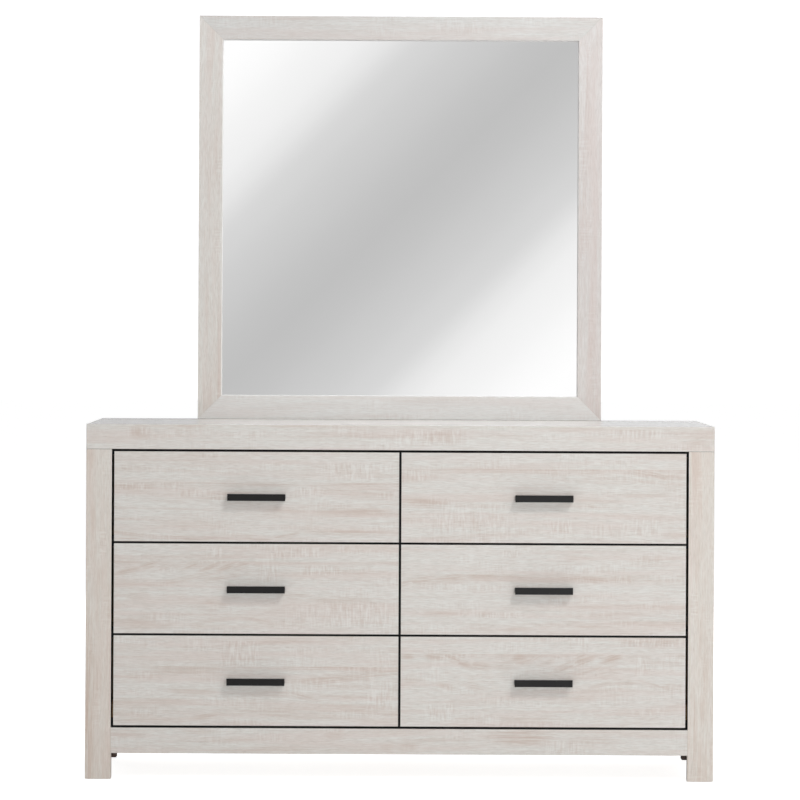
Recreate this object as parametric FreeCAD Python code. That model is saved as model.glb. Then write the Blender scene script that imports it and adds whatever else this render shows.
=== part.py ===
import FreeCAD, Part
import os

# Dresser of two columns of drawers with a framed mirror standing on its top.
# Millimetres, +Z up, +X to the right of someone who faces the drawers, the drawers open towards -Y.
# The origin is on the floor, under the middle of the whole object.

# Case
case_width = 1480.0
case_depth = 394.0
case_height = 838.0
panel = 18.0                   # laminated board of the case, the legs and the drawer fronts
top_edge_height = 59.0         # edge built up round the top
leg_width = 61.0               # face of each front leg
foot_depth = 61.0              # foot left at each end of a side panel
foot_clearance = 63.0          # floor to the underside of the bottom rail
bottom_rail_height = 61.0
cutout_radius = 14.0           # inner corners of the cut-out between the feet
back_panel_thickness = 4.0
back_rabbet = 10.0             # lap of the back panel on each side panel
back_gap = 0.5                 # back panel to the sides of its rabbets
partition_thickness = 18.0
rear_rail_height = 60.0
rear_rail_thickness = 18.0
cleat_depth = 30.0             # strip behind the bottom rail
block_reach = 11.0             # corner block past the inner edge of the leg
block_drop = 13.0              # corner block below the bottom rail
block_depth = 44.0
block_bevel = 16.0
glide_height = 2.0
glide_diameter = 16.0
glide_bevel = 0.8

# Web frames that carry the drawers
rows = ("bottom", "middle", "top")
columns = (("left", -1), ("right", 1))
web_height = 20.0
front_web_depth = 60.0
rear_web_depth = 30.0
runner_width = 40.0
guide_thickness = 5.0
guide_height = 15.0

# Drawers
reveal = 4.8                   # black gap round each drawer front
stop_gap = 0.4                 # closed drawer front to the web rail that stops it
running_gap = 0.3              # drawer side above its runner
guide_gap = 0.5                # drawer side beside its guide strip
box_board = 12.0
box_headroom = 32.0            # top of a drawer side to the web rail above it
box_edge_radius = 3.0          # rounded top edges of the drawer sides
box_rear_gap = 6.0             # drawer box to the rear rails
box_back_drop = 12.0           # top of the drawer's back below the tops of its sides
bottom_thickness = 4.0
bottom_lift = 10.0             # drawer bottom above the lower edges of the sides
groove_depth = 6.0
groove_gap = 0.3               # edge of the drawer bottom to the floor of its groove

# Pulls
pull_length = 136.0
pull_height = 16.0
pull_projection = 28.0
pull_bar = 7.0                 # thickness of the flat bar
pull_post = 8.0                # width of each post
pull_post_height = 9.5
pull_end_radius = 1.5

# Mirror
mirror_width = 1003.0
mirror_height = 1003.0
frame_face = 59.0
frame_thickness = 22.0
sight_bevel = 1.0              # bevel along the edge beside the glass
glass_thickness = 4.0
glass_lap = 8.0
backing_thickness = 3.0
backing_step = 8.0             # backing past the edge of the glass
glazing_gap = 0.5              # glass and backing to the sides of their rabbets

# Mirror supports and their screws
support_width = 50.0
support_thickness = 18.0
support_rise = 470.0           # support above the top of the case
support_bevel = 8.0
screw_margin = 40.0            # screw to the end of the support
screw_diameter = 6.0
screw_cover = 6.0              # wood left between a screw's tip and the face of the mirror frame
screw_hole_gap = 0.25
screw_tip_gap = 0.5
head_diameter = 12.0
head_height = 3.0
head_bevel = 1.0
counterbore_gap = 1.0

# Places worked out from the sizes above
front_y = -(case_depth + support_thickness - pull_projection) / 2
inner_y = front_y + panel
back_y = front_y + case_depth
panel_y = back_y - back_panel_thickness
half_width = case_width / 2
side_x = half_width - panel
leg_x = half_width - leg_width
band_z = case_height - top_edge_height
top_z = case_height - panel
opening_z = foot_clearance + bottom_rail_height
front_height = (band_z - opening_z - (len(rows) + 1) * reveal) / len(rows)
front_width = (2 * leg_x - (len(columns) + 1) * reveal) / len(columns)
row_pitch = front_height + reveal
web_centres = [opening_z + reveal / 2 + count * row_pitch for count in range(len(rows) + 1)]
web_base = web_centres[0] - web_height / 2
partition_x = partition_thickness / 2
rear_rail_y = panel_y - rear_rail_thickness
drawer_x = reveal / 2 + front_width / 2
box_half = drawer_x - partition_x - guide_thickness - guide_gap
front_back_y = inner_y - stop_gap
box_height = row_pitch - web_height - running_gap - box_headroom
box_back_y = rear_rail_y - box_rear_gap
mirror_half = mirror_width / 2
mirror_top = case_height + mirror_height
mirror_y = back_y - frame_thickness
lip = frame_thickness - glass_thickness - backing_thickness
backing_lap = glass_lap + backing_step
support_x = mirror_half - frame_face / 2
support_low = web_centres[-2] - screw_margin
support_high = case_height + support_rise
screw_tip_y = mirror_y + screw_cover
screw_seat_y = back_y + support_thickness - head_height
screw_heights = (
    web_centres[-2],
    top_z - rear_rail_height / 2,
    case_height + frame_face + screw_margin,
    support_high - screw_margin,
)


def across(sign, low, high):
    """The X range between two distances from the middle, on the side that sign gives."""
    return tuple(sorted((sign * low, sign * high)))


def board(x, y, z):
    """A square-edged board that fills the X, Y and Z ranges."""
    corner = FreeCAD.Vector(x[0], y[0], z[0])
    return Part.makeBox(x[1] - x[0], y[1] - y[0], z[1] - z[0], corner)


def prism(outline, plane, reach):
    """A closed outline in the plane XY, YZ or XZ, drawn along the third axis through a range."""
    first, second, third = {"XY": (0, 1, 2), "YZ": (1, 2, 0), "XZ": (0, 2, 1)}[plane]
    corners = []
    for across_first, across_second in outline:
        place = [0.0, 0.0, 0.0]
        place[first] = across_first
        place[second] = across_second
        place[third] = reach[0]
        corners.append(FreeCAD.Vector(*place))
    length = [0.0, 0.0, 0.0]
    length[third] = reach[1] - reach[0]
    face = Part.Face(Part.makePolygon(corners + corners[:1]))
    return face.extrude(FreeCAD.Vector(*length))


def edges_along(shape, axis, places):
    """The straight edges of shape along an axis (0, 1 or 2) that pass through the given places."""
    others = [number for number in (0, 1, 2) if number != axis]
    match = 1e-6
    found = []
    for edge in shape.Edges:
        ends = [vertex.Point for vertex in edge.Vertexes]
        for place in places:
            misses = [abs(end[number] - value) for number, value in zip(others, place) for end in ends]
            if max(misses) < match:
                found.append(edge)
    return found


def rod(diameter, start_y, end_y, x, z):
    """A round rod along Y."""
    start = FreeCAD.Vector(x, start_y, z)
    return Part.makeCylinder(diameter / 2, end_y - start_y, start, FreeCAD.Vector(0, 1, 0))


# Top: a board and three bands folded down from it, mitred where any two of them meet
def top_board():
    section = [(-half_width, case_height), (half_width, case_height), (side_x, top_z), (-side_x, top_z)]
    profile = [(front_y, case_height), (back_y, case_height), (back_y, top_z), (inner_y, top_z)]
    return prism(section, "XZ", (front_y, back_y)).common(prism(profile, "YZ", (-half_width, half_width)))


def top_front_band():
    plan = [(-half_width, front_y), (half_width, front_y), (side_x, inner_y), (-side_x, inner_y)]
    profile = [(front_y, band_z), (front_y, case_height), (inner_y, top_z), (inner_y, band_z)]
    return prism(plan, "XY", (band_z, case_height)).common(prism(profile, "YZ", (-half_width, half_width)))


def side_plan(sign):
    """Plan of a side: mitred at the front, rabbeted at the back for the back panel."""
    rabbet_x = side_x + back_rabbet
    plan = [(half_width, front_y), (half_width, back_y), (rabbet_x, back_y),
            (rabbet_x, panel_y), (side_x, panel_y), (side_x, inner_y)]
    return [(sign * x, y) for x, y in plan]


def top_side_band(sign):
    section = [(half_width, band_z), (half_width, case_height), (side_x, top_z), (side_x, band_z)]
    mitred = prism([(sign * x, z) for x, z in section], "XZ", (front_y, back_y))
    return prism(side_plan(sign), "XY", (band_z, case_height)).common(mitred)


# Case below the top
def side_panel(sign):
    whole = prism(side_plan(sign), "XY", (glide_height, band_z))
    gap_y = (front_y + foot_depth, back_y - foot_depth)
    gap = board(across(sign, side_x, half_width), gap_y, (glide_height, foot_clearance))
    corners = edges_along(gap, 0, [(y, foot_clearance) for y in gap_y])
    return whole.cut(gap.makeFillet(cutout_radius, corners))


def front_leg(sign):
    plan = [(leg_x, front_y), (half_width, front_y), (side_x, inner_y), (leg_x, inner_y)]
    return prism([(sign * x, y) for x, y in plan], "XY", (glide_height, band_z))


def bottom_rail():
    return board((-leg_x, leg_x), (front_y, inner_y), (foot_clearance, opening_z))


def front_bottom_cleat():
    reach_x = leg_x - block_reach
    return board((-reach_x, reach_x), (inner_y, inner_y + cleat_depth), (foot_clearance, web_base))


def rear_bottom_rail():
    return board((-side_x, side_x), (rear_rail_y, panel_y), (foot_clearance, web_base))


def rear_top_rail():
    rail = board((-side_x, side_x), (rear_rail_y, panel_y), (top_z - rear_rail_height, top_z))
    return rail.cut(screw_holes())


def centre_partition():
    notch_z = top_z - rear_rail_height
    outline = [(inner_y, web_base), (panel_y, web_base), (panel_y, notch_z),
               (rear_rail_y, notch_z), (rear_rail_y, top_z), (inner_y, top_z)]
    return prism(outline, "YZ", (-partition_x, partition_x))


def back_panel():
    reach_x = side_x + back_rabbet - back_gap
    sheet = board((-reach_x, reach_x), (panel_y, back_y), (foot_clearance, top_z))
    return sheet.cut(screw_holes())


def corner_block(sign):
    near_x = leg_x - block_reach
    rear_y = inner_y + block_depth
    plan = [(near_x, inner_y), (side_x, inner_y), (side_x, rear_y),
            (near_x + block_bevel, rear_y), (near_x, rear_y - block_bevel)]
    return prism([(sign * x, y) for x, y in plan], "XY", (foot_clearance - block_drop, web_base))


def floor_glide(sign, y):
    """A nailed glide: a disc whose lower rim is bevelled."""
    base = FreeCAD.Vector(sign * (half_width - panel / 2), y, 0)
    radius = glide_diameter / 2
    foot = Part.makeCone(radius - glide_bevel, radius, glide_bevel, base)
    rim = base + FreeCAD.Vector(0, 0, glide_bevel)
    return foot.fuse(Part.makeCylinder(radius, glide_height - glide_bevel, rim)).removeSplitter()


# Web frames
def web_z(count):
    """Height range of the web frame in the reveal with this number, counted from the bottom."""
    return (web_centres[count] - web_height / 2, web_centres[count] + web_height / 2)


def front_web_rail(sign, count):
    return board(across(sign, partition_x, side_x), (inner_y, inner_y + front_web_depth), web_z(count))


def rear_web_rail(sign, count):
    rail = board(across(sign, partition_x, side_x), (panel_y - rear_web_depth, panel_y), web_z(count))
    return rail.cut(screw_holes())


def strip_pair(sign, width, z):
    """Two strips between the front and rear web rails, alike about the middle of the drawer."""
    y = (inner_y + front_web_depth, panel_y - rear_web_depth)
    far_x = 2 * drawer_x - partition_x
    near = board(across(sign, partition_x, partition_x + width), y, z)
    return [near, board(across(sign, far_x - width, far_x), y, z)]


def runners(sign, count):
    return strip_pair(sign, runner_width, web_z(count))


def guide_strips(sign, count):
    top = web_z(count)[1]
    return strip_pair(sign, guide_thickness, (top, top + guide_height))


# Drawers
def drawer_places(sign, count):
    """Middle of the drawer in X, and the bottoms of its front, its box and its bottom panel."""
    box_z = web_z(count)[1] + running_gap
    return sign * drawer_x, opening_z + reveal + count * row_pitch, box_z, box_z + bottom_lift


def groove(sign, count):
    """The space that the drawer bottom and its clearance take in the sides and the front."""
    middle, _, _, bottom_z = drawer_places(sign, count)
    half = box_half - box_board + groove_depth
    y = (front_back_y - groove_depth, box_back_y)
    return board((middle - half, middle + half), y, (bottom_z, bottom_z + bottom_thickness))


def drawer_front(sign, count):
    middle, low, _, _ = drawer_places(sign, count)
    x = (middle - front_width / 2, middle + front_width / 2)
    return board(x, (front_y, front_back_y), (low, low + front_height)).cut(groove(sign, count))


def drawer_sides(sign, count):
    middle, _, box_z, _ = drawer_places(sign, count)
    sides = []
    for hand in (-1, 1):
        x = sorted((middle + hand * box_half, middle + hand * (box_half - box_board)))
        side = board(x, (front_back_y, box_back_y), (box_z, box_z + box_height))
        upper = edges_along(side, 1, [(edge_x, box_z + box_height) for edge_x in x])
        sides.append(side.makeFillet(box_edge_radius, upper).cut(groove(sign, count)))
    return sides


def drawer_back(sign, count):
    middle, _, box_z, bottom_z = drawer_places(sign, count)
    half = box_half - box_board
    z = (bottom_z + bottom_thickness, box_z + box_height - box_back_drop)
    return board((middle - half, middle + half), (box_back_y - box_board, box_back_y), z)


def drawer_bottom(sign, count):
    middle, _, _, bottom_z = drawer_places(sign, count)
    half = box_half - box_board + groove_depth - groove_gap
    y = (front_back_y - groove_depth + groove_gap, box_back_y)
    return board((middle - half, middle + half), y, (bottom_z, bottom_z + bottom_thickness))


def drawer_pull(sign, count):
    """Flat bar on two lower posts, which stand on the drawer front behind the bar's ends."""
    middle, low, _, _ = drawer_places(sign, count)
    end = pull_length / 2
    face_y = front_y - pull_projection
    rear_y = face_y + pull_bar
    centre_z = low + front_height / 2
    ends = (middle - end, middle + end)
    bar = board(ends, (face_y, rear_y), (centre_z - pull_height / 2, centre_z + pull_height / 2))
    bar = bar.makeFillet(pull_end_radius, edges_along(bar, 2, [(x, face_y) for x in ends]))
    post_z = (centre_z - pull_post_height / 2, centre_z + pull_post_height / 2)
    posts = [board(x, (rear_y, front_y), post_z)
             for x in ((ends[0], ends[0] + pull_post), (ends[1] - pull_post, ends[1]))]
    return bar.fuse(posts).removeSplitter()


# Mirror
def frame_section():
    """Section of the frame: distance in from its outer edge, and depth behind its front face."""
    glass_edge = frame_face - glass_lap
    backing_edge = frame_face - backing_lap
    return [(0, 0), (frame_face - sight_bevel, 0), (frame_face, sight_bevel), (frame_face, lip),
            (glass_edge, lip), (glass_edge, lip + glass_thickness),
            (backing_edge, lip + glass_thickness), (backing_edge, frame_thickness), (0, frame_thickness)]


def frame_rail(outer_z, inward):
    """A rail of the frame, mitred at both ends; inward is +1 from the bottom edge, -1 from the top."""
    section = [(mirror_y + depth, outer_z + inward * across_face) for across_face, depth in frame_section()]
    inner_z = outer_z + inward * frame_face
    inner_half = mirror_half - frame_face
    face = [(-mirror_half, outer_z), (mirror_half, outer_z), (inner_half, inner_z), (-inner_half, inner_z)]
    moulding = prism(section, "YZ", (-mirror_half, mirror_half))
    return moulding.common(prism(face, "XZ", (mirror_y, back_y)))


def frame_stile(sign):
    section = [(sign * (mirror_half - across_face), mirror_y + depth) for across_face, depth in frame_section()]
    inner_x = mirror_half - frame_face
    face = [(mirror_half, case_height), (mirror_half, mirror_top),
            (inner_x, mirror_top - frame_face), (inner_x, case_height + frame_face)]
    moulding = prism(section, "XY", (case_height, mirror_top))
    mitred = moulding.common(prism([(sign * x, z) for x, z in face], "XZ", (mirror_y, back_y)))
    return mitred.cut(screw_holes())


def pane(lap, start_y, end_y):
    """A sheet that laps the frame behind the opening."""
    edge = frame_face - lap + glazing_gap
    x = (-mirror_half + edge, mirror_half - edge)
    return board(x, (start_y, end_y), (case_height + edge, mirror_top - edge))


def mirror_glass():
    return pane(glass_lap, mirror_y + lip, mirror_y + lip + glass_thickness)


def mirror_backing():
    return pane(backing_lap, back_y - backing_thickness, back_y)


# Supports
def screw_places():
    return [(sign * support_x, z) for _, sign in columns for z in screw_heights]


def screw_holes():
    """Clearance holes for every support screw, from the floor of its counterbore to past its tip."""
    holes = [rod(screw_diameter + 2 * screw_hole_gap, screw_tip_y - screw_tip_gap, screw_seat_y, x, z)
             for x, z in screw_places()]
    return Part.makeCompound(holes)


def mirror_support(sign):
    left, right = across(sign, support_x - support_width / 2, support_x + support_width / 2)
    outline = [(left, support_low), (right, support_low), (right, support_high - support_bevel),
               (right - support_bevel, support_high), (left + support_bevel, support_high),
               (left, support_high - support_bevel)]
    post = prism(outline, "XZ", (back_y, back_y + support_thickness)).cut(screw_holes())
    bores = [rod(head_diameter + 2 * counterbore_gap, screw_seat_y, back_y + support_thickness, x, z)
             for x, z in screw_places()]
    return post.cut(Part.makeCompound(bores))


def support_screw(x, z):
    """A screw turned in one piece, whose bevelled head lies flush in its counterbore."""
    outline = [(0, screw_tip_y), (screw_diameter / 2, screw_tip_y), (screw_diameter / 2, screw_seat_y),
               (head_diameter / 2, screw_seat_y), (head_diameter / 2, back_y + support_thickness - head_bevel),
               (head_diameter / 2 - head_bevel, back_y + support_thickness), (0, back_y + support_thickness)]
    corners = [FreeCAD.Vector(x + radius, y, z) for radius, y in outline]
    half = Part.Face(Part.makePolygon(corners + corners[:1]))
    return half.revolve(FreeCAD.Vector(x, 0, z), FreeCAD.Vector(0, 1, 0), 360)


nodes = {
    "top_board": [top_board()],
    "top_front_band": [top_front_band()],
    "bottom_rail": [bottom_rail()],
    "front_bottom_cleat": [front_bottom_cleat()],
    "rear_bottom_rail": [rear_bottom_rail()],
    "rear_top_rail": [rear_top_rail()],
    "centre_partition": [centre_partition()],
    "back_panel": [back_panel()],
    "corner_blocks": [corner_block(sign) for _, sign in columns],
    "floor_glides": [floor_glide(sign, y) for _, sign in columns
                     for y in ((inner_y + front_y + foot_depth) / 2, back_y - foot_depth / 2)],
    "front_web_rails": [front_web_rail(sign, count) for _, sign in columns for count in range(len(rows) + 1)],
    "rear_web_rails": [rear_web_rail(sign, count) for _, sign in columns for count in range(len(rows))],
    "drawer_runners": [strip for _, sign in columns for count in range(len(rows))
                       for strip in runners(sign, count)],
    "drawer_guide_strips": [strip for _, sign in columns for count in range(len(rows))
                            for strip in guide_strips(sign, count)],
    "mirror_top_rail": [frame_rail(mirror_top, -1)],
    "mirror_bottom_rail": [frame_rail(case_height, 1)],
    "mirror_glass": [mirror_glass()],
    "mirror_backing": [mirror_backing()],
    "support_screws": [support_screw(x, z) for x, z in screw_places()],
}

for side, sign in columns:
    nodes["top_" + side + "_band"] = [top_side_band(sign)]
    nodes[side + "_side_panel"] = [side_panel(sign)]
    nodes[side + "_front_leg"] = [front_leg(sign)]
    nodes["mirror_" + side + "_stile"] = [frame_stile(sign)]
    nodes[side + "_mirror_support"] = [mirror_support(sign)]
    for count, row in enumerate(rows):
        drawer = row + "_" + side + "_drawer_"
        nodes[drawer + "front"] = [drawer_front(sign, count)]
        nodes[drawer + "sides"] = drawer_sides(sign, count)
        nodes[drawer + "back"] = [drawer_back(sign, count)]
        nodes[drawer + "bottom"] = [drawer_bottom(sign, count)]
        nodes[drawer + "pull"] = [drawer_pull(sign, count)]

os.makedirs("parts", exist_ok=True)
for name, solids in nodes.items():
    shape = solids[0] if len(solids) == 1 else Part.makeCompound(solids)
    shape.exportStep("parts/" + name + ".step")
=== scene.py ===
import math

import bmesh
import bpy
from bpy.props import FloatProperty, FloatVectorProperty, PointerProperty
from mathutils import Euler, Matrix, Vector


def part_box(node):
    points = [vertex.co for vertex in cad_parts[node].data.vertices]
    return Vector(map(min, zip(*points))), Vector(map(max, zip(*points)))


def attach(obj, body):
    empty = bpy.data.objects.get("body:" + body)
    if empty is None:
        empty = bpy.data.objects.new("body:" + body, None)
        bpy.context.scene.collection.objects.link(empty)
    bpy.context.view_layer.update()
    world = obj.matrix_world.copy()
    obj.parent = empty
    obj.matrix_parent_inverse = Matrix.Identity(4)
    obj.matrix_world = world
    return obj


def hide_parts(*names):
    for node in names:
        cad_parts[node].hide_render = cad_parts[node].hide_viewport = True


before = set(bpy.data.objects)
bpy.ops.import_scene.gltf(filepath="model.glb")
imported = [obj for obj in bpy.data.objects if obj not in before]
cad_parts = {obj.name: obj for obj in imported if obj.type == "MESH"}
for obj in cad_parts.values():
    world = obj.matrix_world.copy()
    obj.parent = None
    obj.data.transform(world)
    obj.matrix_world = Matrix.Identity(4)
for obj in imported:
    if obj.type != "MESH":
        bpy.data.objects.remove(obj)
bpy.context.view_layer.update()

bl_info = {
    "name": "Dresser with mirror",
    "version": (1, 0, 0),
    "blender": (4, 5, 0),
    "location": "View3D > Sidebar > Dresser",
    "description": "Gives the dresser and its mirror their finishes, small fixings and studio stage",
    "category": "Object",
}

mm = 0.001
to_mm = (1 / mm, 1 / mm, 1 / mm)
rows = ("bottom", "middle", "top")
columns = ("left", "right")
drawers = [row + "_" + column + "_drawer" for column in columns for row in rows]
white = (1.0, 1.0, 1.0, 1.0)

# Softened edges of sawn timber, drawer fronts and pulls, and of the drawer boxes
fine_edge = 0.5 * mm
rounded_edge = 1.2 * mm

# Black of the pulls and the web rails, also laid as painted shade on the faces in the reveals round the
# drawers, and a pale painted highlight on the faces beside the mirror's glass. A face is painted where it
# looks in the right direction by more than the share given
black_and_reveal_shade = "100f0f"
reveal_shade_facing = 0.2
sight_highlight = "e8e5e2"
sight_highlight_facing = 0.6

# Heights of the screws in each mirror support, in mm
support_screw_heights = (559.87, 790, 937, 1268)

# Reach of the cross recess in a screw's head, as a share of the head's radius
cross_reach = 0.52

# Turn that brings the axis of a screw or nail head to the rear
rearward = Matrix.Rotation(math.radians(-90), 4, "X")

# Kinds of ray, besides the camera's and gloss, that most pieces of the stage are hidden from
other_rays = ("diffuse", "transmission", "volume_scatter", "shadow")

# Setting of a range that eases in and out
ease = {"interpolation_type": "SMOOTHSTEP"}

# Which way the grain runs, as the turn that brings it onto the print's own length
grain_turns = {
    "x": (0.0, 0.0, 0.0),
    "y": (0.0, 0.0, math.radians(-90)),
    "z": (0.0, math.radians(90), 0.0),
}

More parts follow.
